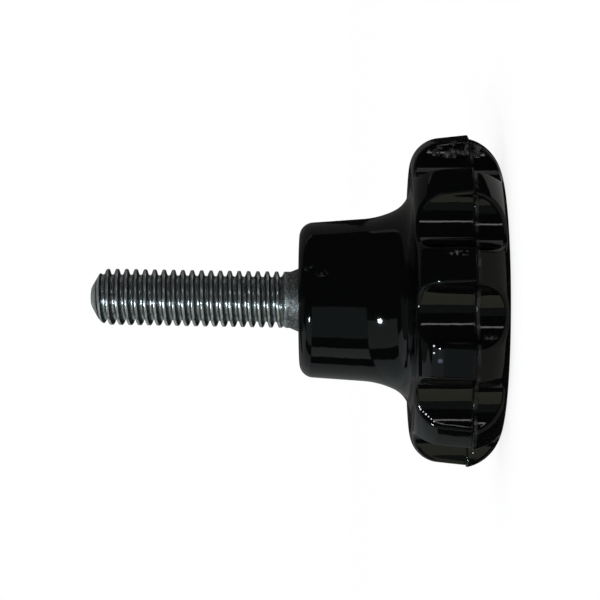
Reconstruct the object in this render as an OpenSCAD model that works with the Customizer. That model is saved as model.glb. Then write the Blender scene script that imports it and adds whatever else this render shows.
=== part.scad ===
// Fluted clamping knob with a moulded-in M6 screw.
// It stands on its head: the front face lies at z = 0 and the screw points along +Z.
// The two halves of the mould met a little out of line, which leaves a step at the parting line.

/* [Rim] */
// Diameter over the crests at the parting line
knob_d = 35; // [32:0.5:40]
// Height of the back flank above the front face
rim_h = 9.55; // [9:0.05:11]
// Height of the parting line above the front face
parting_h = 3.6; // [3:0.1:4.4]
// Radius of the rounded front edge
front_r = 4.5; // [4.4:0.05:4.8]
// Radius of the rounded shoulder behind the rim
shoulder_r = 3.2; // [2.6:0.05:3.6]
// Draft of the rim behind the parting line, degrees
rim_draft = 6; // [3:0.5:8]
// How far the front half of the mould sat out of line, towards -X
mould_shift = 0.3; // [0.05:0.05:0.4]

/* [Flutes] */
// Number of finger flutes round the rim
flute_count = 11; // [8:1:12]
// Radius of each flute's scoop
flute_r = 3.35; // [2.8:0.05:3.4]
// Depth of a flute below the crests
flute_depth = 2.65; // [2:0.05:2.8]

/* [Hub] */
// Height of the hub's end face above the front face
knob_h = 21.25; // [19:0.25:24]
// Diameter of the hub below its rounded end corner
hub_d = 16.5; // [15:0.1:17]
// Draft of the hub, degrees
hub_draft = 4; // [2:0.5:5]
// Radius of the hub's rounded end corner
hub_corner_r = 1.5; // [0.8:0.1:2]
// Radius of the fillet where the hub meets the flank
root_r = 2.9; // [2.2:0.1:3]
// Slope at which that fillet hands over to the flare, degrees from the axis
flare_angle = 26; // [20:1:30]
// Radius of the long flare above the fillet
flare_r = 8.9; // [7:0.1:10]

/* [Screw] */
// Thread diameter
stud_d = 6; // [5:1:8]
// Length of screw that stands out of the hub
stud_len = 22.2; // [14:0.1:40]
// Diameter of the screw's flat tip
tip_d = 2; // [1.6:0.1:2.4]
// Slope of the cone behind the tip, degrees from the axis
tip_angle = 60; // [50:1:65]
// Radius of the arc that runs from that cone into the full diameter
tip_r = 1.45; // [1:0.05:1.6]
// Angle by which the screw leans out of true towards +X, degrees
stud_lean = 1; // [0:0.1:1.5]
// Diameter of the plain neck where the screw leaves the hub
neck_d = 6.7; // [6.4:0.1:7.4]
// Length of screw over which that neck narrows to the thread
neck_len = 1; // [0.6:0.1:2]
// Diameter of the shank that lies hidden in the hub
shank_d = 5.35; // [5:0.05:5.6]
// Width across the flats of the hex head that anchors the screw
head_af = 10; // [9:0.5:10]
// Thickness of that head
head_h = 4; // [3:0.5:5]
// Height of the head above the front face
head_z = 8; // [7:0.5:9]

/* [Hidden] */
$fn = 96;
knob_color = [0.035, 0.037, 0.038];
zinc_color = [0.62, 0.64, 0.66];
hex_sides = 6;
// Length by which a cut runs past the solid that it leaves
lap = 1;
// Depth to which the neck sits in the hub, and the height at which it starts to narrow
neck_depth = 0.5;
neck_rise = 0.15;
knob_r = knob_d / 2;
stud_r = stud_d / 2;

// Rim: centres of the front edge's arc and of the shoulder's arc.
// The draft line is tangent to the shoulder and reaches the crest radius at the parting line.
front_c = [knob_r - front_r, front_r];
shoulder_z = rim_h - shoulder_r;
draft_rise = shoulder_z + shoulder_r * sin(rim_draft) - parting_h;
shoulder_c = [knob_r - draft_rise * tan(rim_draft) - shoulder_r * cos(rim_draft), shoulder_z];
shoulder_low = shoulder_c + shoulder_r * heading(rim_draft);

// Distance from the axis to the centre of each flute's scoop
flute_centre = knob_r - flute_depth + flute_r;

// Hub: corner, drafted wall, flare and fillet follow each other with no break in slope
corner_c = [hub_d / 2 - hub_corner_r * cos(hub_draft), knob_h - hub_corner_r];
corner_low = corner_c + hub_corner_r * heading(hub_draft);
flare_low_z = rim_h + root_r - root_r * sin(flare_angle);
flare_c_z = flare_low_z + flare_r * sin(flare_angle);
flare_top_z = flare_c_z - flare_r * sin(hub_draft);
flare_top = [corner_low.x + (corner_low.y - flare_top_z) * tan(hub_draft), flare_top_z];
flare_c = flare_top + flare_r * heading(hub_draft);
flare_low = flare_c - flare_r * heading(flare_angle);
root_c = flare_low + root_r * heading(flare_angle);

// Tip: the arc starts square to the wall, and the cone is tangent to its other end
nose_c = [stud_r - tip_r, 0];
nose_end = nose_c + tip_r * heading(tip_angle);
nose_h = nose_end.y + (nose_end.x - tip_d / 2) / tan(tip_angle);

// Unit vector at an angle from +X
function heading(angle) = [cos(angle), sin(angle)];

// Part of a disc between two headings less than 120 degrees apart
module sector(centre, r, from, to) {
  reach = 2 * r;
  intersection() {
    translate(centre) circle(r = r);
    polygon([
      centre,
      centre + reach * heading(from),
      centre + reach * heading((from + to) / 2),
      centre + reach * heading(to)
    ]);
  }
}

// Section of what the front half of the mould formed, in the half-plane x >= 0
module front_section() {
  square([front_c.x, parting_h]);
  intersection() {
    translate(front_c) circle(r = front_r);
    translate([front_c.x, 0]) square([front_r, parting_h]);
  }
}

// Section of the drafted rim behind the parting line, up to the back flank
module rim_section() {
  polygon([
    [0, parting_h],
    [knob_r, parting_h],
    shoulder_low,
    shoulder_c,
    [shoulder_c.x, rim_h],
    [0, rim_h]
  ]);
}

// Section of the rounded shoulder between the draft and the back flank
module shoulder_section() {
  sector(shoulder_c, shoulder_r, rim_draft, 90);
}

// Section of the hub: fillet, flare, drafted wall and rounded corner
module hub_section() {
  difference() {
    polygon([[0, rim_h], [root_c.x, rim_h], root_c, flare_low, [0, flare_low.y]]);
    translate(root_c) circle(r = root_r);
  }
  difference() {
    polygon([[0, flare_low.y], flare_low, flare_c, flare_top, [0, flare_top.y]]);
    translate(flare_c) circle(r = flare_r);
  }
  polygon([
    [0, flare_top.y],
    flare_top,
    corner_low,
    corner_c,
    [corner_c.x, knob_h],
    [0, knob_h]
  ]);
  sector(corner_c, hub_corner_r, hub_draft, 90);
}

// Scoops round the rim, cut straight through from face to face
module flutes() {
  for (i = [0:flute_count - 1])
    rotate(360 * i / flute_count)
      translate([flute_centre, 0, -lap])
        cylinder(r = flute_r, h = rim_h + 2 * lap);
}

// Turned solid with the flutes cut through it
module fluted() {
  difference() {
    rotate_extrude() children();
    flutes();
  }
}

// What the front half of the mould formed
module front_half() {
  translate([-mould_shift, 0, 0]) fluted() front_section();
}

// What the back half of the mould formed, up to the hub's end face
module back_half() {
  fluted() rim_section();
  fluted() shoulder_section();
  rotate_extrude() hub_section();
}

// The screw's axis passes through the middle of the hub's end face, which is the origin here
module on_screw_axis() {
  translate([0, 0, knob_h]) rotate([0, stud_lean, 0]) children();
}

// Hex head, hidden shank and neck, up to a given height above the hub's end face
module anchor(top) {
  translate([0, 0, head_z - knob_h]) {
    cylinder(d = head_af / cos(180 / hex_sides), h = head_h, $fn = hex_sides);
    cylinder(d = shank_d, h = knob_h - head_z);
  }
  translate([0, 0, -neck_depth]) cylinder(d = neck_d, h = neck_depth + top);
}

// Plain envelope of the thread: the neck's taper, the full diameter and the tip
module threaded_length() {
  translate([0, 0, neck_rise])
    cylinder(d1 = neck_d, d2 = stud_d, h = neck_len - neck_rise);
  translate([0, 0, neck_len]) cylinder(r = stud_r, h = stud_len - nose_h - neck_len);
  translate([0, 0, stud_len - nose_h]) rotate_extrude() nose_section();
}

// Section of the screw's tip: arc, cone and flat
module nose_section() {
  polygon([[0, 0], nose_c, nose_end, [tip_d / 2, nose_h], [0, nose_h]]);
  sector(nose_c, tip_r, 0, tip_angle);
}

// Moulded knob, rim and hub in one piece, with the space that the screw fills
module knob() {
  color(knob_color)
    difference() {
      union() {
        front_half();
        back_half();
      }
      on_screw_axis() anchor(lap);
    }
}

// Steel screw: anchoring head, shank and chamfered tip
module threaded_stud() {
  color(zinc_color)
    on_screw_axis() {
      anchor(neck_rise);
      threaded_length();
    }
}

knob();
threaded_stud();
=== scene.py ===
"""Looks of a fluted clamping knob with a moulded-in M6 screw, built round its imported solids.

The knob stands on its front face at z = 0 and the screw points along +Z. Sizes are written in
millimetres, as a maker's drawing has them, and every finished mesh is in metres.
"""

from __future__ import annotations

import logging
import math
from dataclasses import dataclass, field
from typing import Any, Callable, Sequence

import bmesh
import bpy
import numpy as np
from mathutils import Matrix, Vector

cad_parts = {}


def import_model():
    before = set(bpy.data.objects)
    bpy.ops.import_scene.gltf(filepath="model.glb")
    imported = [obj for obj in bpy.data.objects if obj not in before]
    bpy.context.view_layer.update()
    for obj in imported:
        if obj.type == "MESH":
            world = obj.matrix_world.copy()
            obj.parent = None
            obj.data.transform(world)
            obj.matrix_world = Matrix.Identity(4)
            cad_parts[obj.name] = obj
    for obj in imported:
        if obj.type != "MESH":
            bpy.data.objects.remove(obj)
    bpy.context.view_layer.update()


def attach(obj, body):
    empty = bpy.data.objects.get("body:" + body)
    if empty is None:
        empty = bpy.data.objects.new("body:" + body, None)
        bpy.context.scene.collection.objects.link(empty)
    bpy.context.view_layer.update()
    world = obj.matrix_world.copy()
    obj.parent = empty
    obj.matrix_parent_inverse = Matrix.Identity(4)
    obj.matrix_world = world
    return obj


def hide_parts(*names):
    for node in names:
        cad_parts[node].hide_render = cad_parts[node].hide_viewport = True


LOG = logging.getLogger("clamping_knob")
MM = 0.001
BODY = "root"
MERGE_MM = 0.0004
BRACE_MM = 0.06
PINCH_MM = 0.01
FAR_MM = 99.0
HUB_H = 21.25
LEAN = 1.0
Point = tuple[float, float]
Place = tuple[float, float, float]
Patch = tuple[Place, Place]
Colour = tuple[float, float, float, float]
Distance = Callable[[np.ndarray], np.ndarray]
Edges = list[bmesh.types.BMEdge]
WHITE = (1.0, 1.0, 1.0, 1.0)


def heading(degrees: float) -> np.ndarray:
    """Unit vector at an angle from the first axis."""
    return np.array([math.cos(math.radians(degrees)), math.sin(math.radians(degrees))])


def rounded_meet(first: np.ndarray, second: np.ndarray, radius: float) -> np.ndarray:
    """Signed distance to what two solids share, with the edge where they cross rounded off.

    Args:
        first: Signed distances to the first solid, negative inside it.
        second: Signed distances to the second solid.
        radius: Radius of the rounded edge, in the same unit.

    Returns:
        Signed distances to the shared solid.
    """
    inside = np.minimum(-radius, np.maximum(first, second))
    return inside + np.hypot(np.maximum(first + radius, 0), np.maximum(second + radius, 0))


# ---------------------------------------------------------------------------------------------
# Shader building
# ---------------------------------------------------------------------------------------------


class Signal:
    """A node's output that adds Math nodes when it is used in an expression."""

    def __init__(self, sheet: "NodeSheet", socket: bpy.types.NodeSocket) -> None:
        """Wraps a socket of a sheet's tree."""
        self.sheet = sheet
        self.socket = socket

    def _math(self, operation: str, *values: Any, clamp: bool = False) -> "Signal":
        """Adds one Math node and returns its output."""
        settings = {"operation": operation, "use_clamp": clamp}
        return self.sheet.node("ShaderNodeMath", settings, dict(enumerate(values)))

    def __add__(self, other: Any) -> "Signal":
        """self + other."""
        return self._math("ADD", self, other)

    def __radd__(self, other: Any) -> "Signal":
        """other + self."""
        return self._math("ADD", other, self)

    def __sub__(self, other: Any) -> "Signal":
        """self - other."""
        return self._math("SUBTRACT", self, other)

    def __rsub__(self, other: Any) -> "Signal":
        """other - self."""
        return self._math("SUBTRACT", other, self)

    def __mul__(self, other: Any) -> "Signal":
        """self * other."""
        return self._math("MULTIPLY", self, other)

    def __rmul__(self, other: Any) -> "Signal":
        """other * self."""
        return self._math("MULTIPLY", other, self)

    def __truediv__(self, other: Any) -> "Signal":
        """self / other."""
        return self._math("DIVIDE", self, other)

    def hypot(self, other: "Signal") -> "Signal":
        """Length of the vector (self, other)."""
        return self._math("SQRT", self * self + other * other)

    def largest(self, other: Any) -> "Signal":
        """The larger of self and other."""
        return self._math("MAXIMUM", self, other)

    def turn_from(self, other: "Signal") -> "Signal":
        """Angle whose tangent is self over other, in radians."""
        return self._math("ARCTAN2", self, other)

    def fraction(self) -> "Signal":
        """What is left of self above its whole number."""
        return self._math("FRACT", self)

    def size(self) -> "Signal":
        """self without its sign."""
        return self._math("ABSOLUTE", self)

    def clamped(self) -> "Signal":
        """self, held between 0 and 1."""
        return self._math("ADD", self, 0.0, clamp=True)

    def ramp(self, low: float, high: float) -> "Signal":
        """Smooth step of self from 0 at low to 1 at high.

        Args:
            low: Value that gives 0.
            high: Value that gives 1, which may be the smaller of the two.

        Returns:
            The stepped value.
        """
        settings = {"interpolation_type": "SMOOTHSTEP", "clamp": True}
        if low <= high:
            inputs = {"Value": self, "From Min": low, "From Max": high}
            return self.sheet.node("ShaderNodeMapRange", settings, inputs)
        return 1.0 - self.ramp(high, low)


class NodeSheet:
    """Node tree of one material or of the world."""

    def __init__(self, tree: bpy.types.NodeTree) -> None:
        """Empties a tree and takes it over."""
        self.tree = tree
        tree.nodes.clear()

    def node(
        self,
        kind: str,
        settings: dict[str, Any] | None = None,
        inputs: dict[Any, Any] | None = None,
        output: Any = 0,
    ) -> Signal:
        """Adds a node.

        Args:
            kind: Type name of the node.
            settings: Properties to set first.
            inputs: Values or signals by socket name or number.
            output: Name or number of the output that is returned.

        Returns:
            The chosen output.
        """
        made = self.tree.nodes.new(kind)
        for name, value in (settings or {}).items():
            setattr(made, name, value)
        for key, value in (inputs or {}).items():
            socket = made.inputs[key]
            if isinstance(value, Signal):
                self.tree.links.new(value.socket, socket)
            else:
                socket.default_value = value
        return Signal(self, made.outputs[output] if made.outputs else None)

    def place(self) -> Signal:
        """Object coordinates, in metres."""
        return self.node("ShaderNodeTexCoord", output="Object")

    def parts(self, vector: Signal) -> tuple[Signal, Signal, Signal]:
        """The three numbers of a vector."""
        split = self.node("ShaderNodeSeparateXYZ", None, {0: vector})
        outputs = split.socket.node.outputs
        return tuple(Signal(self, outputs[i]) for i in range(3))

    def noise(self, vector: Signal, size_mm: float, detail: float = 3.0, rough: float = 0.5) -> Signal:
        """Noise from 0 to 1.

        Args:
            vector: Place to read it at, in metres.
            size_mm: Size of its blotches.
            detail: Octaves of finer noise on top.
            rough: Weight of the finer noise.

        Returns:
            The noise value.
        """
        inputs = {"Vector": vector, "Scale": 1 / (size_mm * MM), "Detail": detail, "Roughness": rough}
        return self.node("ShaderNodeTexNoise", None, inputs)

    def colour_mix(self, factor: Any, first: Any, second: Any) -> Signal:
        """Colour that runs from first to second as factor runs from 0 to 1."""
        settings = {"data_type": "RGBA"}
        return self.node("ShaderNodeMix", settings, {0: factor, 6: first, 7: second}, output=2)

    def near(self, vector: Signal, centre: Sequence[float], reach: Sequence[float], core: float) -> Signal:
        """Mask of a rounded patch.

        Args:
            vector: Place to read it at, in metres.
            centre: Middle of the patch, in millimetres.
            reach: Half its size along each axis.
            core: Share of its reach inside which the mask is 1.

        Returns:
            1 in the core, falling smoothly to 0 at the reach.
        """
        settings = {"vector_type": "TEXTURE"}
        inputs = {"Vector": vector, "Location": [v * MM for v in centre], "Scale": [v * MM for v in reach]}
        local = self.node("ShaderNodeMapping", settings, inputs)
        away = self.node("ShaderNodeVectorMath", {"operation": "LENGTH"}, {0: local}, "Value")
        return away.ramp(1.0, core)

    def bump(self, height: Signal, depth_mm: float, normal: Signal | None = None) -> Signal:
        """Normal of a surface that a height from 0 to 1 raises.

        Args:
            height: The height signal.
            depth_mm: Height that 1 stands for.
            normal: Normal to start from.

        Returns:
            The bumped normal.
        """
        inputs = {"Height": height, "Distance": depth_mm * MM, "Strength": 1.0}
        if normal is not None:
            inputs["Normal"] = normal
        return self.node("ShaderNodeBump", None, inputs)


def new_material(name: str) -> tuple[bpy.types.Material, NodeSheet]:
    """A material with an empty node tree, and its sheet."""
    material = bpy.data.materials.new(name)
    material.use_nodes = True
    return material, NodeSheet(material.node_tree)


@dataclass(frozen=True)
class BlackMoulding:
    """Deep black glossy moulded plastic, gritty along its parting line, with a few scuffs, painted sheen
    on a strip below the parting line and in a crinkled patch, painted glints and a painted bluish glow.

    Places are in millimetres. A patch is a middle and half its size along each axis. A pair of
    numbers named for an edge or a share runs from the value that gives 0 to the one that gives 1.
    """

    black: Colour = (0.0012, 0.0013, 0.0013, 1.0)
    # Lighter colour of real wear on the scuffs, and of painted sheen below the parting line and in the
    # crinkle's streaks.
    dust_and_sheen: Colour = (0.045, 0.046, 0.043, 1.0)
    # White of the painted glints.
    painted_glint_colour: Colour = (0.75, 0.78, 0.80, 1.0)
    # Blue of the painted glow.
    painted_glow_colour: Colour = (0.06, 0.07, 0.10, 1.0)
    roughness: float = 0.05
    mottle_dulling: float = 0.05
    dust_and_sheen_dulling: float = 0.25
    parting_h: float = 3.6
    ring_mm: float = 0.45
    ring_foot: Point = (9.1, 9.45)
    ring_top: Point = (12.0, 10.6)
    ring_depth: float = 0.035
    mottle_mm: float = 1.4
    mottle_share: Point = (0.45, 0.8)
    grit_mm: float = 0.35
    grit_depth: float = 0.05
    scuff_share: Point = (0.5, 0.62)
    ripple_mm: float = 0.9
    ripple_depth: float = 0.008
    peel_mm: float = 2.2
    peel_depth: float = 0.016
    streak_mm: float = 0.8
    streak_share: Point = (0.48, 0.62)
    streak_depth: float = 0.05
    beside_edges: tuple[Point, Point] = ((-0.5, -0.05), (0.75, 0.2))
    strip_edges: tuple[Point, Point] = ((0.04, 0.12), (0.5, 0.3))
    strip_share: Point = (0.42, 0.6)
    strip_sheen: float = 0.3
    crinkle_sheen: float = 0.8
    crinkle: Patch = ((15.15, -6.5, 4.7), (1.0, 1.6, 3.9))
    scuffs: tuple[Patch, ...] = (
        ((2.8, -7.75, 20.15), (0.35, 0.5, 0.75)),
        ((2.25, -8.0, 18.8), (0.55, 0.6, 0.75)),
        ((3.6, -16.95, 5.3), (0.35, 0.8, 1.5)),
        ((-4.5, -15.4, 2.2), (0.5, 0.8, 0.9)),
    )
    # A small patch of painted bluish glow beside the glints.
    painted_glows: tuple[Patch, ...] = (((-6.89, -15.63, 7.15), (0.3, 0.5, 0.35)),)
    # Tiny painted glints, single and in a chain along a flute's lip.
    painted_glints: tuple[Patch, ...] = (
        ((-5.43, -15.92, 7.78), (0.11, 0.2, 0.11)),
        ((-6.11, -15.71, 7.77), (0.10, 0.2, 0.10)),
        ((-11.61, -10.41, 8.86), (0.09, 0.2, 0.09)),
        ((-11.85, -10.41, 8.59), (0.07, 0.2, 0.07)),
        ((-12.09, -10.41, 8.32), (0.11, 0.2, 0.11)),
        ((-12.33, -10.43, 8.06), (0.08, 0.2, 0.08)),
        ((-12.57, -10.47, 7.79), (0.08, 0.2, 0.08)),
        ((-12.81, -10.53, 7.53), (0.06, 0.2, 0.06)),
        ((-16.16, -2.19, 3.03), (0.07, 0.2, 0.07)),
    )

    def patches(self, sheet: NodeSheet, place: Signal, patches: Sequence[Patch], core: float) -> Signal:
        """Largest mask of several patches."""
        masks = [sheet.near(place, centre, reach, core) for centre, reach in patches]
        whole = masks[0]
        for mask in masks[1:]:
            whole = whole.largest(mask)
        return whole

    def material(self) -> bpy.types.Material:
        """Makes the material."""
        material, sheet = new_material("black_moulding")
        place = sheet.place()
        x, y, z = sheet.parts(place)
        up = z / MM
        below = self.parting_h - up
        out = sheet.node("ShaderNodeCombineXYZ", None, {0: x.hypot(y)})
        rings = sheet.noise(out, self.ring_mm, 2.0)
        rings = (rings - 0.5) * up.ramp(*self.ring_foot) * up.ramp(*self.ring_top)
        mottle = sheet.noise(place, self.mottle_mm, 4.0, 0.6)
        grit = sheet.noise(place, self.grit_mm, 3.0, 0.65)
        ripple = sheet.noise(place, self.ripple_mm, 3.0, 0.55)
        beside = below.ramp(*self.beside_edges[0]) * below.ramp(*self.beside_edges[1])
        # A lighter mottled strip just below the parting line is painted sheen, standing in for the lit
        # edge there.
        strip = below.ramp(*self.strip_edges[0]) * below.ramp(*self.strip_edges[1])
        strip = strip * mottle.ramp(*self.strip_share)
        crinkle = sheet.near(place, *self.crinkle, 0.55)
        scuffs = self.patches(sheet, place, self.scuffs, 0.3) * grit.ramp(*self.scuff_share)
        # Whitish streaks in the crinkled patch are painted reflection laid over the crinkle's real bump.
        streaks = sheet.noise(place, self.streak_mm, 3.0, 0.6).ramp(*self.streak_share)
        # The lighter colour is real wear on the scuffs and painted sheen on the strip and in the crinkle's
        # streaks.
        dust_and_sheen_mask = (self.strip_sheen * strip).largest(scuffs)
        dust_and_sheen_mask = dust_and_sheen_mask.largest(self.crinkle_sheen * crinkle * streaks)
        colour = sheet.colour_mix(dust_and_sheen_mask, self.black, self.dust_and_sheen)
        # Painted bluish glow.
        colour = sheet.colour_mix(self.patches(sheet, place, self.painted_glows, 0.2), colour, self.painted_glow_colour)
        # Painted glints: small white dots on the black.
        colour = sheet.colour_mix(self.patches(sheet, place, self.painted_glints, 0.6), colour, self.painted_glint_colour)
        roughness = self.roughness + self.mottle_dulling * mottle.ramp(*self.mottle_share)
        roughness = roughness + self.dust_and_sheen_dulling * dust_and_sheen_mask
        normal = sheet.bump(sheet.noise(place, self.peel_mm, 2.0), self.peel_depth)
        normal = sheet.bump(ripple, self.ripple_depth, normal)
        normal = sheet.bump(rings, self.ring_depth, normal)
        normal = sheet.bump(grit * (beside * 0.5 + scuffs * 0.4), self.grit_depth, normal)
        normal = sheet.bump(streaks * crinkle, self.streak_depth, normal)
        shader = sheet.node(
            "ShaderNodeBsdfPrincipled",
            None,
            {"Base Color": colour, "Roughness": roughness, "Normal": normal},
        )
        sheet.node("ShaderNodeOutputMaterial", None, {"Surface": shader})
        return material


@dataclass(frozen=True)
class ZincSteel:
    """Dull zinc-plated steel with painted light and shade along the thread: light crest and root lines as
    painted highlights, dark flanks as painted shade, and a dirty, mottled neck.

    Heights are above the hub's end face and edges across the thread are from its crest, in
    millimetres. The last pairs hold the value that gives 0 and the one that gives 1.
    """

    # The crest and root colours make painted highlight lines. The flank colour is painted shade.
    bright: Colour = (0.92, 0.97, 0.96, 1.0)
    grain: Colour = (0.5, 0.54, 0.57, 1.0)
    root: Colour = (0.74, 0.82, 0.86, 1.0)
    flank_shade: Colour = (0.085, 0.09, 0.094, 1.0)
    dirt: Colour = (0.17, 0.17, 0.17, 1.0)
    metallic: float = 0.95
    hub_h: float = HUB_H
    lean: float = LEAN
    pitch: float = 1.0
    crest_edge: Point = (0.10, 0.155)
    root_edge: Point = (0.335, 0.39)
    run_out: Point = (1.5, 2.3)
    tip: Point = (20.7, 21.8)
    tip_dulling: float = 0.1
    neck_top: float = 1.75
    neck_blend: float = 0.7
    thread_start: Point = (1.35, 2.25)
    roughness: float = 0.08
    mottle_mm: float = 0.5
    mottle_dulling: float = 0.26
    mottle_depth: float = 0.11
    neck_dulling: float = 0.2
    blotch_mm: float = 1.8
    blotch_dirt: float = 0.3
    blotch_share: Point = (0.42, 0.68)
    speck_mm: float = 0.22
    speck_depth: float = 0.02
    speck_dirt: float = 0.8
    speck_share: Point = (0.6, 0.7)
    speck_fade: Point = (9.0, 1.0)
    grime_share: Point = (0.54, 0.68)

    def material(self) -> bpy.types.Material:
        """Makes the material."""
        material, sheet = new_material("zinc_steel")
        settings = {"vector_type": "TEXTURE"}
        turn = (0.0, math.radians(self.lean), 0.0)
        inputs = {"Vector": sheet.place(), "Location": (0, 0, self.hub_h * MM), "Rotation": turn}
        place = sheet.node("ShaderNodeMapping", settings, inputs)
        x, y, z = sheet.parts(place)
        z = z / MM
        turns = y.turn_from(x) / (2 * math.pi)
        off_crest = ((z / self.pitch - turns).fraction() - 0.5).size() * self.pitch
        mottle = sheet.noise(place, self.mottle_mm, 4.0, 0.7)
        blotch = sheet.noise(place, self.blotch_mm, 2.0, 0.5)
        speck = sheet.noise(place, self.speck_mm, 2.0, 0.6)
        neck = z.ramp(self.neck_top, self.neck_top - self.neck_blend)
        neck = (neck + (mottle - 0.5) * 2.0 * neck.ramp(0.02, 0.5)).clamped()
        # Painted highlight lines on the crests and roots, with painted shade on the flanks between them.
        # They fade out at the neck and on the nose.
        threaded = z.ramp(*self.thread_start)
        threaded = threaded * (x.hypot(y) / MM).ramp(*self.run_out)
        root = off_crest.ramp(*self.root_edge) * threaded
        flank_shade = off_crest.ramp(*self.crest_edge) * threaded * (1.0 - root)
        flank_shade = (flank_shade * (0.75 + 0.5 * mottle)).clamped()
        colour = sheet.colour_mix(root, self.bright, self.root)
        colour = sheet.colour_mix(flank_shade, colour, self.flank_shade)
        stain = self.blotch_dirt * blotch.ramp(*self.blotch_share)
        colour = sheet.colour_mix(stain, colour, self.dirt)
        # Dark specks of dirt, more of them towards the hub, take the painted flank shade's colour.
        spots = self.speck_dirt * speck.ramp(*self.speck_share) * z.ramp(*self.speck_fade)
        colour = sheet.colour_mix(spots, colour, self.flank_shade)
        grime = sheet.colour_mix(speck.ramp(*self.grime_share), self.dirt, self.grain)
        colour = sheet.colour_mix(neck, colour, grime)
        metallic = self.metallic - self.tip_dulling * z.ramp(*self.tip)
        metallic = metallic - 0.5 * self.tip_dulling * neck
        roughness = self.roughness + self.mottle_dulling * mottle + self.neck_dulling * neck
        normal = sheet.bump(speck, self.speck_depth)
        normal = sheet.bump(mottle * neck, self.mottle_depth, normal)
        shader = sheet.node(
            "ShaderNodeBsdfPrincipled",
            None,
            {"Base Color": colour, "Metallic": metallic, "Roughness": roughness, "Normal": normal},
        )
        sheet.node("ShaderNodeOutputMaterial", None, {"Surface": shader})
        return material


# ---------------------------------------------------------------------------------------------
# Mesh building
# ---------------------------------------------------------------------------------------------


def arc_points(
    centre: np.ndarray, radius: float, start: float, end: float, count: int
) -> list[Point]:
    """Evenly spaced points on an arc.

    Args:
        centre: Centre of the arc.
        radius: Radius, in the same unit.
        start: Heading of the first point, in degrees.
        end: Heading of the last point.
        count: Number of steps between them.

    Returns:
        count + 1 points.
    """
    turns = (start + (end - start) * i / count for i in range(count + 1))
    return [tuple(centre + radius * heading(turn)) for turn in turns]


def line_points(start: Sequence[float], end: Sequence[float], count: int) -> list[Point]:
    """Evenly spaced points from start to end, with both ends."""
    return [tuple(np.asarray(start) + (np.asarray(end) - start) * i / count) for i in range(count + 1)]


def braced_line(start: Sequence[float], end: Sequence[float], count: int) -> list[Point]:
    """Points from start to end with two of them close to the ends, which keeps the shading straight.

    Args:
        start: First point, in millimetres.
        end: Last point.
        count: Number of steps between them, at least three.

    Returns:
        count + 1 points.
    """
    first, last = np.asarray(start, float), np.asarray(end, float)
    brace = (last - first) * BRACE_MM / np.linalg.norm(last - first)
    return [tuple(first)] + line_points(first + brace, last - brace, count - 2) + [tuple(last)]


def joined(*runs: Sequence[Point]) -> list[Point]:
    """Runs of points as one chain, where each run starts at the last one's end."""
    chain = list(runs[0])
    for run in runs[1:]:
        chain.extend(run[1:])
    return chain


def finish_mesh(bm: bmesh.types.BMesh, name: str, material: bpy.types.Material) -> bpy.types.Object:
    """Closes a mesh's seams, points its faces outwards and makes it an object at the origin.

    Args:
        bm: Mesh in metres, which is freed.
        name: Name of the piece.
        material: Its finish.

    Returns:
        The linked object.
    """
    bmesh.ops.remove_doubles(bm, verts=bm.verts, dist=MERGE_MM * MM)
    bmesh.ops.recalc_face_normals(bm, faces=bm.faces)
    for face in bm.faces:
        face.smooth = True
    mesh = bpy.data.meshes.new(name)
    bm.to_mesh(mesh)
    bm.free()
    mesh.materials.append(material)
    piece = bpy.data.objects.new(name, mesh)
    bpy.context.scene.collection.objects.link(piece)
    return piece


@dataclass
class ScrewPlace:
    """Where the screw's axis runs: through the middle of the hub's end face, a little out of true."""

    height: float = HUB_H
    lean: float = LEAN

    def matrix(self) -> Matrix:
        """Turns and moves a screw that has the hub's end face at z = 0, in millimetres."""
        turn = Matrix.Rotation(math.radians(self.lean), 4, "Y")
        return Matrix.Translation((0, 0, self.height)) @ turn


@dataclass
class Anchor:
    """Neck, hidden shank and hex head that hold the screw in the hub."""

    neck_r: float = 3.35
    neck_depth: float = 0.5
    neck_rise: float = 0.15
    shank_r: float = 2.675
    head_af: float = 10.0
    head_top: float = -9.25
    head_foot: float = -13.25

    def hex_r(self, angle: np.ndarray) -> np.ndarray:
        """Distance from the axis to the head's flats at each angle in radians."""
        sixth = math.pi / 3
        return self.head_af / 2 / np.cos((angle % sixth) - sixth / 2)


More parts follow.
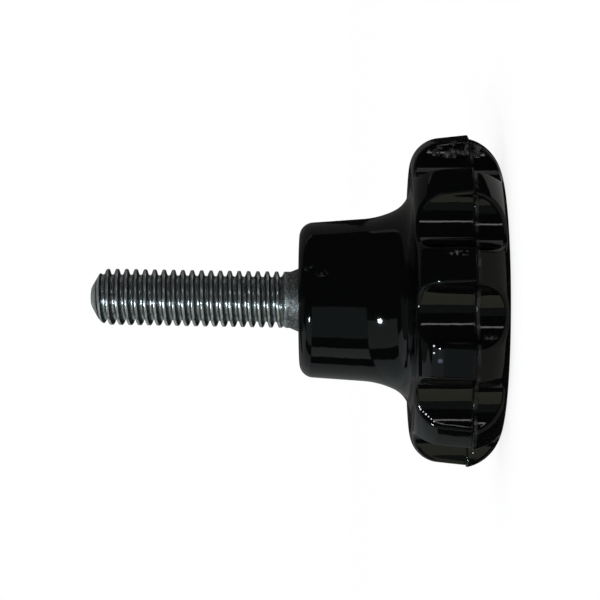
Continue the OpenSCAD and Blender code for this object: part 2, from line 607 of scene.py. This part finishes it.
@dataclass
class Knob:
    """Moulded knob: fluted rim of two halves, flared hub and the space that the screw fills."""

    knob_r: float = 17.5
    rim_h: float = 9.55
    parting_h: float = 3.6
    front_r: float = 4.5
    shoulder_r: float = 3.2
    rim_draft: float = 6.0
    mould_shift: float = 0.3
    flute_count: int = 11
    flute_r: float = 3.35
    flute_depth: float = 2.65
    knob_h: float = HUB_H
    hub_r: float = 8.25
    hub_draft: float = 4.0
    hub_corner_r: float = 1.5
    root_r: float = 2.9
    flare_angle: float = 26.0
    flare_r: float = 8.9
    lip_r: float = 0.3
    seam_r: float = 0.1
    seam_depth: float = 0.5
    front_lip: float = 2.2
    back_lip: float = 0.06
    columns_per_flute: int = 56
    lip_crowding: float = 2.2
    lip_spread: float = 1.6
    settle_step: float = 1e-4
    settle_rounds: int = 6
    least_slope: float = 0.25
    anchor: Anchor = field(default_factory=Anchor)
    place: ScrewPlace = field(default_factory=ScrewPlace)

    def __post_init__(self) -> None:
        """Works out the centres that the section's arcs share."""
        self.front_c = np.array([self.knob_r - self.front_r, self.front_r])
        shoulder_z = self.rim_h - self.shoulder_r
        out = heading(self.rim_draft)
        rise = shoulder_z + self.shoulder_r * out[1] - self.parting_h
        taper = rise * math.tan(math.radians(self.rim_draft))
        self.shoulder_c = np.array([self.knob_r - taper - self.shoulder_r * out[0], shoulder_z])
        self.flute_centre = self.knob_r - self.flute_depth + self.flute_r
        self.columns = self.flute_count * self.columns_per_flute
        draft = heading(self.hub_draft)
        corner_r = self.hub_corner_r
        self.corner_c = np.array([self.hub_r - corner_r * draft[0], self.knob_h - corner_r])
        low = self.corner_c + self.hub_corner_r * draft
        slope = heading(self.flare_angle)
        flare_low_z = self.rim_h + self.root_r - self.root_r * slope[1]
        flare_top_z = flare_low_z + self.flare_r * (slope[1] - draft[1])
        run = (low[1] - flare_top_z) * math.tan(math.radians(self.hub_draft))
        self.flare_top = np.array([low[0] + run, flare_top_z])
        self.flare_c = self.flare_top + self.flare_r * draft
        self.root_c = self.flare_c + (self.root_r - self.flare_r) * slope

    def front_rows(self) -> list[Point]:
        """Section of the front half, from the middle of the front face to the parting line."""
        seam = math.degrees(math.asin((self.parting_h - self.front_r) / self.front_r))
        lip = self.front_lip
        return joined(
            braced_line((0, 0), (self.front_c[0], 0), 5),
            arc_points(self.front_c, self.front_r, -90, seam - lip, 38),
            arc_points(self.front_c, self.front_r, seam - lip, seam, 5),
        )

    def back_rows(self) -> list[Point]:
        """Section of the back half, from the parting line to the hole for the screw."""
        draft = heading(self.rim_draft)
        low = self.shoulder_c + self.shoulder_r * draft
        seam = np.array([self.knob_r, self.parting_h])
        lip = seam + (low - seam) * self.back_lip
        hub_low = self.corner_c + self.hub_corner_r * heading(self.hub_draft)
        hole = (self.anchor.neck_r, self.knob_h)
        return joined(
            line_points(seam, lip, 5),
            line_points(lip, low, 12),
            arc_points(self.shoulder_c, self.shoulder_r, self.rim_draft, 90, 30),
            braced_line((self.shoulder_c[0], self.rim_h), (self.root_c[0], self.rim_h), 3),
            arc_points(self.root_c, self.root_r, 270, 180 + self.flare_angle, 12),
            arc_points(self.flare_c, self.flare_r, 180 + self.flare_angle, 180 + self.hub_draft, 9),
            braced_line(self.flare_top, hub_low, 4),
            arc_points(self.corner_c, self.hub_corner_r, self.hub_draft, 90, 15),
            braced_line((self.corner_c[0], self.knob_h), hole, 4),
        )

    def column_angles(self) -> np.ndarray:
        """Angle of each column of vertices, crowded where the flutes' lips are.

        Returns:
            One angle in radians for each column, from 0 up.
        """
        pitch = 360 / self.flute_count
        reach = self.knob_r**2 + self.flute_centre**2 - self.flute_r**2
        lip = math.degrees(math.acos(reach / (2 * self.knob_r * self.flute_centre)))
        fine = np.linspace(0, pitch, 4001)
        nearest = np.minimum(abs(fine - lip), abs(fine - (pitch - lip)))
        density = 1 + self.lip_crowding * np.exp(-((nearest / self.lip_spread) ** 2))
        travelled = np.concatenate([[0], np.cumsum((density[1:] + density[:-1]) / 2)])
        steps = np.linspace(0, travelled[-1], self.columns_per_flute + 1)[:-1]
        one = np.interp(steps, travelled, fine)
        return np.radians(np.concatenate([one + pitch * i for i in range(self.flute_count)]))

    def flute_distance(self, points: np.ndarray) -> np.ndarray:
        """How far each point lies inside the nearest flute's scoop, negative outside it."""
        angle = np.arctan2(points[..., 1], points[..., 0])
        pitch = 2 * math.pi / self.flute_count
        off = angle - pitch * np.round(angle / pitch)
        r = np.hypot(points[..., 0], points[..., 1])
        across = np.hypot(r * np.cos(off) - self.flute_centre, r * np.sin(off))
        return self.flute_r - across

    def front_distance(self, points: np.ndarray) -> np.ndarray:
        """Signed distance to the fluted front half, unshifted."""
        r = np.hypot(points[..., 0], points[..., 1])
        turned = np.hypot(r - self.front_c[0], points[..., 2] - self.front_c[1]) - self.front_r
        fluted = rounded_meet(turned, self.flute_distance(points), self.lip_r)
        return rounded_meet(fluted, points[..., 2] - self.parting_h, self.seam_r)

    def back_distance(self, points: np.ndarray) -> np.ndarray:
        """Signed distance to the fluted back half's rim."""
        r = np.hypot(points[..., 0], points[..., 1]) - self.shoulder_c[0]
        z = points[..., 2] - self.shoulder_c[1]
        draft = heading(self.rim_draft)
        slope = np.degrees(np.arctan2(z, r))
        turned = np.where(slope < self.rim_draft, r * draft[0] + z * draft[1], np.hypot(r, z))
        turned = np.where(slope > 90, z, turned) - self.shoulder_r
        fluted = rounded_meet(turned, self.flute_distance(points), self.lip_r)
        return rounded_meet(fluted, self.parting_h - points[..., 2], self.seam_r)

    def settled(self, points: np.ndarray, distance: Distance) -> np.ndarray:
        """Moves points onto the surface where a signed distance is zero.

        Args:
            points: Points near the surface.
            distance: Signed distance to the solid.

        Returns:
            The moved points.
        """
        step = self.settle_step
        for _ in range(self.settle_rounds):
            value = distance(points)
            rises = [distance(points + step * a) - distance(points - step * a) for a in np.eye(3)]
            slope = np.stack([rise / (2 * step) for rise in rises], axis=-1)
            size = np.maximum((slope**2).sum(-1, keepdims=True), self.least_slope)
            points = points - value[..., None] * slope / size
        return points

    def rim_grid(self, rows: list[Point], angles: np.ndarray, distance: Distance) -> np.ndarray:
        """Places of a half's vertices, with the flutes scooped out of its rim.

        Args:
            rows: Section of the half.
            angles: Angle of each column.
            distance: Signed distance to the half's rim.

        Returns:
            Array of rows by columns by three, in millimetres.
        """
        r, z = (np.array(v)[:, None] + 0 * angles for v in zip(*rows))
        pitch = 2 * math.pi / self.flute_count
        off = angles - pitch * np.round(angles / pitch)
        under = self.flute_r**2 - (self.flute_centre * np.sin(off)) ** 2
        scoop = self.flute_centre * np.cos(off) - np.sqrt(np.maximum(under, 0))
        floor = np.where(under > 0, scoop, FAR_MM)
        near = (r > self.knob_r - self.flute_depth - 2 * self.lip_r) & (z < self.rim_h)
        held = np.where(near, np.minimum(r, floor), r)
        points = np.stack([held * np.cos(angles), held * np.sin(angles), z], axis=-1)
        points[near] = self.settled(points[near], distance)
        return points

    def pocket_grid(self, angles: np.ndarray) -> np.ndarray:
        """Places of the hole's vertices, from its mouth down to its closed foot."""
        a = self.anchor
        flats = a.hex_r(angles)
        levels = [
            (a.neck_r, 0.0),
            (a.neck_r, -a.neck_depth),
            (a.shank_r, -a.neck_depth),
            (a.shank_r, a.head_top),
            (flats, a.head_top),
            (flats, a.head_foot),
            (0.0, a.head_foot),
        ]
        along, across = np.cos(angles), np.sin(angles)
        rings = [np.stack([r * along, r * across, z + 0 * angles], -1) for r, z in levels]
        grid = np.array(rings)
        turn = np.array(self.place.matrix())
        placed = grid @ turn[:3, :3].T + turn[:3, 3]
        placed[0, :, 2] = self.knob_h
        return placed

    def build(self, material: bpy.types.Material) -> bpy.types.Object:
        """Spins the section, scoops the flutes and cuts the screw's space.

        Args:
            material: Finish of the knob.

        Returns:
            The knob, as one closed mesh.
        """
        angles = self.column_angles()
        front = self.rim_grid(self.front_rows(), angles, self.front_distance)
        front[..., 0] -= self.mould_shift * (front[..., 2] >= 0)
        back = self.rim_grid(self.back_rows(), angles, self.back_distance)
        middle = (front[-1] + back[0]) / 2
        inward = middle * np.array([1, 1, 0])
        inward /= np.linalg.norm(inward, axis=-1, keepdims=True)
        throat = middle - self.seam_depth * inward
        throat[:, 2] = self.parting_h
        pocket = self.pocket_grid(angles)
        back[-1] = pocket[0]
        grid = np.concatenate([front, throat[None], back, pocket[1:]])
        return finish_mesh(spun_grid(grid, self.flute_count), "fluted_knob", material)


def spun_grid(grid: np.ndarray, sectors: int) -> bmesh.types.BMesh:
    """Spins a chain once round and moves each vertex to its place.

    Args:
        grid: Places by row and column, in millimetres.
        sectors: Number of equal parts, of which the first is spun and the others copy it.

    Returns:
        The mesh in metres, open where the sectors meet.
    """
    rows, columns = grid.shape[:2]
    bm = bmesh.new()
    row_of = bm.verts.layers.int.new("row")
    chain = []
    for row in range(rows):
        vert = bm.verts.new((1.0, 0.0, row / rows))
        vert[row_of] = row
        chain.append(vert)
    edges = [bm.edges.new(pair) for pair in zip(chain, chain[1:])]
    sector = 2 * math.pi / sectors
    axis = {"cent": (0, 0, 0), "axis": (0, 0, 1)}
    bmesh.ops.spin(bm, geom=chain + edges, angle=sector, steps=columns // sectors, **axis)
    whole = bm.verts[:] + bm.edges[:] + bm.faces[:]
    angle = sector * (sectors - 1)
    bmesh.ops.spin(bm, geom=whole, angle=angle, steps=sectors - 1, use_duplicate=True, **axis)
    for vert in bm.verts:
        column = round(math.atan2(vert.co.y, vert.co.x) * columns / (2 * math.pi)) % columns
        vert.co = Vector(grid[vert[row_of], column]) * MM
    bm.verts.layers.int.remove(row_of)
    return bm


# Half a groove's side, as shares of the thread's depth and of the side's width, root first.
SIDE_SHAPE = (
    (0.0, 0.0),
    (0.03, 0.12),
    (0.12, 0.27),
    (0.34, 0.45),
    (0.6, 0.62),
    (0.82, 0.78),
    (0.95, 0.93),
    (0.99, 1.08),
    (1.0, 1.25),
)


@dataclass
class Screw:
    """Zinc-plated M6 screw: thread, chamfered tip, neck, hidden shank and hex head."""

    pitch: float = 1.0
    major_r: float = 3.0
    minor_r: float = 2.39
    crest: float = 0.26
    root: float = 0.14
    length: float = 22.2
    tip_r: float = 1.0
    nose_r: float = 1.45
    nose_angle: float = 60.0
    neck_len: float = 1.0
    fade_start: float = 1.35
    fade_len: float = 0.8
    tip_round: float = 0.12
    crest_flat: float = 0.02
    core_r: float = 0.2
    cut_reach: float = 1e-5
    level_reach: float = 1e-3
    steps: int = 96
    anchor: Anchor = field(default_factory=Anchor)
    place: ScrewPlace = field(default_factory=ScrewPlace)

    def nose_limit(self, z: np.ndarray) -> np.ndarray:
        """Largest radius that the tip leaves at each height above the hub's end face."""
        end = heading(self.nose_angle) * self.nose_r
        centre = self.major_r - self.nose_r
        cone_r = centre + end[0]
        nose_h = end[1] + (cone_r - self.tip_r) / math.tan(math.radians(self.nose_angle))
        up = z - (self.length - nose_h)
        arc = centre + np.sqrt(np.maximum(self.nose_r**2 - np.maximum(up, 0) ** 2, 0))
        cone = cone_r - (up - end[1]) * math.tan(math.radians(self.nose_angle))
        into = np.clip((z - self.length) / self.tip_round + 1, 0, 1)
        cone = cone - self.tip_round * (1 - np.sqrt(1 - into**2))
        return np.where(up <= 0, self.major_r, np.where(up < end[1], arc, cone))

    def section(self) -> list[Point]:
        """One pitch of the thread, from root to root."""
        run = (self.pitch - self.crest - self.root) / 2
        foot, rise = self.root / 2, self.major_r - self.minor_r
        points = [(self.minor_r, 0.0)]
        points += [(self.minor_r + rise * up, foot + run * along) for up, along in SIDE_SHAPE]
        points += [(self.major_r, self.pitch / 2 - self.crest_flat)]
        mirrored = [(r, self.pitch - z) for r, z in reversed(points)]
        return points + mirrored

    def build(self, material: bpy.types.Material) -> bpy.types.Object:
        """Spins the thread, fades it out at the neck, trims the tip and adds the hidden anchor.

        Args:
            material: Finish of the screw.

        Returns:
            The screw, as one closed mesh.
        """
        bm = bmesh.new()
        turns = range(-1, math.ceil(self.length / self.pitch))
        points = [(r, z + turn * self.pitch) for turn in turns for r, z in self.section()]
        chain = [bm.verts.new((r, 0.0, z)) for r, z in points]
        edges = [bm.edges.new(pair) for pair in zip(chain, chain[1:])]
        bmesh.ops.spin(
            bm,
            geom=chain + edges,
            cent=(0, 0, 0),
            axis=(0, 0, 1),
            dvec=(0, 0, self.pitch / self.steps),
            angle=2 * math.pi,
            steps=self.steps,
        )
        bmesh.ops.remove_doubles(bm, verts=bm.verts, dist=MERGE_MM)
        for vert in bm.verts:
            x, y, z = vert.co
            r = math.hypot(x, y)
            fade = min(max((z - self.fade_start) / self.fade_len, 0.0), 1.0)
            fade = fade * fade * (3 - 2 * fade)
            limit = float(self.nose_limit(np.array(z)))
            fade *= min(max((limit - self.minor_r) / (self.major_r - self.minor_r), 0.0), 1.0)
            held = max(limit - (self.major_r - r) * fade, self.core_r)
            vert.co.x, vert.co.y = x * held / r, y * held / r
        self.trim(bm, self.length, 1)
        self.trim(bm, self.neck_len, -1)
        self.close_tip(bm)
        self.add_anchor(bm)
        bmesh.ops.transform(bm, matrix=Matrix.Scale(MM, 4) @ self.place.matrix(), verts=bm.verts)
        return finish_mesh(bm, "zinc_screw", material)

    def trim(self, bm: bmesh.types.BMesh, height: float, side: int) -> None:
        """Cuts away what lies above (side 1) or below (side -1) a height."""
        bmesh.ops.bisect_plane(
            bm,
            geom=bm.verts[:] + bm.edges[:] + bm.faces[:],
            dist=self.cut_reach,
            plane_co=(0, 0, height),
            plane_no=(0, 0, side),
            clear_outer=True,
        )

    def rim_edges(self, bm: bmesh.types.BMesh, height: float) -> Edges:
        """Open edges at a height."""
        rims = (e for e in bm.edges if e.is_boundary)
        return [e for e in rims if all(abs(v.co.z - height) < self.level_reach for v in e.verts)]

    def ring(self, bm: bmesh.types.BMesh, edges: Edges, r: Any, z: float) -> Edges:
        """Extrudes an open ring of edges to another radius and height.

        Args:
            bm: Mesh in millimetres.
            edges: The open ring.
            r: New radius, or a function of the angle that gives it.
            z: New height.

        Returns:
            The new open ring.
        """
        made = bmesh.ops.extrude_edge_only(bm, edges=edges)["geom"]
        for vert in (g for g in made if isinstance(g, bmesh.types.BMVert)):
            angle = math.atan2(vert.co.y, vert.co.x)
            size = float(r(np.array(angle))) if callable(r) else r
            vert.co = (size * math.cos(angle), size * math.sin(angle), z)
        return [g for g in made if isinstance(g, bmesh.types.BMEdge)]

    def close_tip(self, bm: bmesh.types.BMesh) -> None:
        """Closes the flat at the tip."""
        edges = self.rim_edges(bm, self.length)
        edges = self.ring(bm, edges, self.tip_r * 0.5, self.length)
        edges = self.ring(bm, edges, PINCH_MM, self.length)
        verts = list({v for e in edges for v in e.verts})
        bmesh.ops.pointmerge(bm, verts=verts, merge_co=(0, 0, self.length))

    def add_anchor(self, bm: bmesh.types.BMesh) -> None:
        """Adds the neck, the hidden shank and the hex head below the thread."""
        a = self.anchor
        edges = self.rim_edges(bm, self.neck_len)
        levels = [
            (a.neck_r, a.neck_rise),
            (a.neck_r, -a.neck_depth),
            (a.shank_r, -a.neck_depth),
            (a.shank_r, a.head_top),
            (a.hex_r, a.head_top),
            (a.hex_r, a.head_foot),
            (PINCH_MM, a.head_foot),
        ]
        for r, z in levels:
            edges = self.ring(bm, edges, r, z)
        verts = list({v for e in edges for v in e.verts})
        bmesh.ops.pointmerge(bm, verts=verts, merge_co=(0, 0, a.head_foot))


# ---------------------------------------------------------------------------------------------
# Studio
# ---------------------------------------------------------------------------------------------


@dataclass(frozen=True)
class Card:
    """Glowing card of the dark tent round the object, which only reflections show.

    Bearings are in degrees from the camera, positive towards -X. Heights are in degrees above
    the floor.
    """

    name: str
    bearings: Point
    heights: Point
    colour: Place
    strength: float


CARDS = (
    Card("window_low", (10, 56), (3, 12), (0.80, 0.97, 1.0), 0.165),
    Card("window_high", (29, 72), (12, 50), (0.85, 1.0, 0.96), 0.26),
    Card("door_light", (73, 91), (3, 12), (0.95, 1.0, 0.98), 0.34),
    Card("table_olive", (36, 84), (-9, 3), (1.0, 1.0, 0.78), 0.38),
    Card("table_teal", (9, 34), (-9, 3), (0.8, 1.0, 0.95), 0.1),
    Card("slit", (-30, -25), (-9, 2), (1.0, 1.0, 1.0), 2.5),
    Card("side_low", (107, 147), (-12, 14), (0.94, 1.0, 0.99), 0.22),
    Card("side_high", (92, 147), (14, 46), (0.85, 0.96, 1.0), 0.28),
    Card("sky_side", (62, 130), (46, 66), (0.85, 0.96, 1.0), 0.38),
    Card("far_wall", (147, 168), (-15, 50), (0.95, 0.99, 1.0), 0.2),
    Card("far_dim", (168, 248), (4, 66), (1.0, 1.0, 0.97), 0.07),
    Card("far_strip", (-112, -99), (-24, 3), (1.0, 1.0, 1.0), 0.26),
    Card("far_corner", (-118, -108), (9, 37), (1.0, 1.0, 1.0), 0.22),
    Card("near_slit", (-99, -89), (-9, 1), (1.0, 1.0, 1.0), 0.4),
    Card("bench_far", (-165, -112), (-50, -18), (1.0, 1.0, 0.97), 0.33),
    Card("bench_near", (-70, 110), (-56, -22), (1.0, 1.0, 0.92), 0.19),
    Card("bench_low", (-180, 179), (-86, -56), (1.0, 1.0, 0.94), 0.19),
    Card("ceiling", (-10, 190), (67, 88), (0.9, 0.97, 1.0), 0.08),
)


@dataclass
class Studio:
    """White floor and surroundings, the dark tent with its cards, a small lamp and the camera."""

    camera_azimuth: float = -3.38
    camera_away: float = 193.85
    camera_height: float = 16.93
    aim_height: float = 21.2
    lens: float = 109.2
    sensor: float = 36.0
    floor_size: float = 4.0
    floor_gap: float = 0.05
    floor_glow: float = 0.85
    floor_colour: Colour = (0.96, 0.96, 0.96, 1.0)
    tent_r: float = 0.9
    card_r: float = 0.6
    tent_glow: float = 0.008
    tent_cuts: int = 4
    card_cuts: tuple[int, int] = (24, 12)
    clip_start: float = 0.005
    glint_bearing: float = 30.0
    glint_height: float = 27.0
    glint_size: Point = (0.05, 0.03)
    glint_gap: float = 0.05
    glint_power: float = 0.8
    glint_colour: Place = (0.82, 0.94, 1.0)

    def add_camera(self) -> None:
        """Camera level with the rim and rolled a quarter turn, so that the screw points left."""
        turn = math.radians(self.camera_azimuth)
        away = Vector((math.sin(turn), -math.cos(turn), 0))
        eye = away * self.camera_away + Vector((0, 0, self.camera_height))
        back = (eye - Vector((0, 0, self.aim_height))).normalized()
        up = Vector((math.cos(turn), math.sin(turn), 0))
        right = up.cross(back).normalized()
        data = bpy.data.cameras.new("camera")
        data.lens = self.lens
        data.sensor_width = self.sensor
        data.clip_start = self.clip_start
        camera = bpy.data.objects.new("camera", data)
        axes = Matrix((right, up, back)).transposed().to_4x4()
        camera.matrix_world = Matrix.Translation(eye * MM) @ axes
        bpy.context.scene.collection.objects.link(camera)
        bpy.context.scene.camera = camera

    def towards(self, bearing: float, height: float) -> Vector:
        """Unit vector at a bearing from the camera and a height above the floor, in degrees."""
        turn = math.radians(self.camera_azimuth - 90 - bearing)
        rise = math.radians(height)
        level = math.cos(rise)
        return Vector((math.cos(turn) * level, math.sin(turn) * level, math.sin(rise)))

    def add_floor(self) -> None:
        """Plain white floor, a hair below the knob's face and clear when it is seen from below."""
        material, sheet = new_material("floor_white")
        shader = sheet.node("ShaderNodeBsdfDiffuse", None, {"Color": self.floor_colour})
        glow = sheet.node("ShaderNodeEmission", None, {"Color": WHITE, "Strength": 1.0})
        kinds = ("Is Camera Ray", "Is Glossy Ray", "Is Transmission Ray")
        rays = [sheet.node("ShaderNodeLightPath", output=kind) for kind in kinds]
        seen = (rays[0] + rays[1] + rays[2]).clamped()
        mixed = sheet.node("ShaderNodeMixShader", None, {0: self.floor_glow * seen, 1: shader, 2: glow})
        clear = sheet.node("ShaderNodeBsdfTransparent")
        behind = sheet.node("ShaderNodeNewGeometry", output="Backfacing")
        mixed = sheet.node("ShaderNodeMixShader", None, {0: behind, 1: mixed, 2: clear})
        sheet.node("ShaderNodeOutputMaterial", None, {"Surface": mixed})
        bm = bmesh.new()
        bmesh.ops.create_grid(bm, x_segments=1, y_segments=1, size=self.floor_size)
        bmesh.ops.translate(bm, verts=bm.verts, vec=(0, 0, -self.floor_gap * MM))
        floor = finish_mesh(bm, "floor", material)
        floor.visible_glossy = False

    def light_world(self) -> None:
        """Plain white surroundings."""
        world = bpy.data.worlds.new("surroundings")
        bpy.context.scene.world = world
        world.use_nodes = True
        sheet = NodeSheet(world.node_tree)
        shade = sheet.node("ShaderNodeBackground", None, {"Color": WHITE, "Strength": 1.0})
        sheet.node("ShaderNodeOutputWorld", None, {"Surface": shade})

    @staticmethod
    def reflected_only(bm: bmesh.types.BMesh, name: str, colour: Place, strength: float) -> None:
        """Makes a glowing stage piece that only reflections show.

        Args:
            bm: Its mesh in metres.
            name: Its name.
            colour: Colour of its glow.
            strength: Strength of its glow, where 1 is white.
        """
        material, sheet = new_material(name)
        inputs = {"Color": (*colour, 1), "Strength": strength}
        glow = sheet.node("ShaderNodeEmission", None, inputs)
        sheet.node("ShaderNodeOutputMaterial", None, {"Surface": glow})
        piece = finish_mesh(bm, name, material)
        piece.visible_camera = False
        piece.visible_diffuse = False
        piece.visible_shadow = False
        piece.visible_transmission = False

    def add_tent(self) -> None:
        """Dark tent with its glowing cards."""
        bm = bmesh.new()
        bmesh.ops.create_icosphere(bm, subdivisions=self.tent_cuts, radius=self.tent_r)
        self.reflected_only(bm, "dark_tent", (1, 1, 1), self.tent_glow)
        across, up = self.card_cuts
        for card in CARDS:
            (left, right), (low, high) = card.bearings, card.heights
            bm = bmesh.new()
            bmesh.ops.create_grid(bm, x_segments=across, y_segments=up, size=0.5)
            for vert in bm.verts:
                bearing = left + (vert.co.x + 0.5) * (right - left)
                height = low + (vert.co.y + 0.5) * (high - low)
                vert.co = self.towards(bearing, height) * self.card_r
            self.reflected_only(bm, card.name, card.colour, card.strength)

    def add_glint(self) -> None:
        """Small bright lamp that leaves the sharp glints."""
        data = bpy.data.lights.new("glint_lamp", "AREA")
        data.shape = "RECTANGLE"
        data.size, data.size_y = self.glint_size
        data.energy = self.glint_power
        data.color = self.glint_colour
        lamp = bpy.data.objects.new("glint_lamp", data)
        away = self.card_r - self.glint_gap
        place = self.towards(self.glint_bearing, self.glint_height) * away
        aim = (-place).to_track_quat("-Z", "Y").to_matrix().to_4x4()
        lamp.matrix_world = Matrix.Translation(place) @ aim
        bpy.context.scene.collection.objects.link(lamp)

    def build(self) -> None:
        """Sets up the whole studio."""
        bpy.context.scene.view_settings.view_transform = "Standard"
        self.add_camera()
        self.add_floor()
        self.light_world()
        self.add_tent()
        self.add_glint()


def main() -> None:
    """Builds the knob, the screw and the studio, and reports each piece."""
    logging.basicConfig(level=logging.INFO, format="%(name)s: %(message)s")
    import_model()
    pieces = {
        "knob": (Knob().build(BlackMoulding().material()), "black_moulding"),
        "threaded_stud": (Screw().build(ZincSteel().material()), "zinc_steel"),
    }
    for node, (piece, slot) in pieces.items():
        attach(piece, BODY)
        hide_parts(node)
        LOG.info("%s: %d faces", piece.name, len(piece.data.polygons))
    Studio().build()


if __name__ == "__main__":
    main()
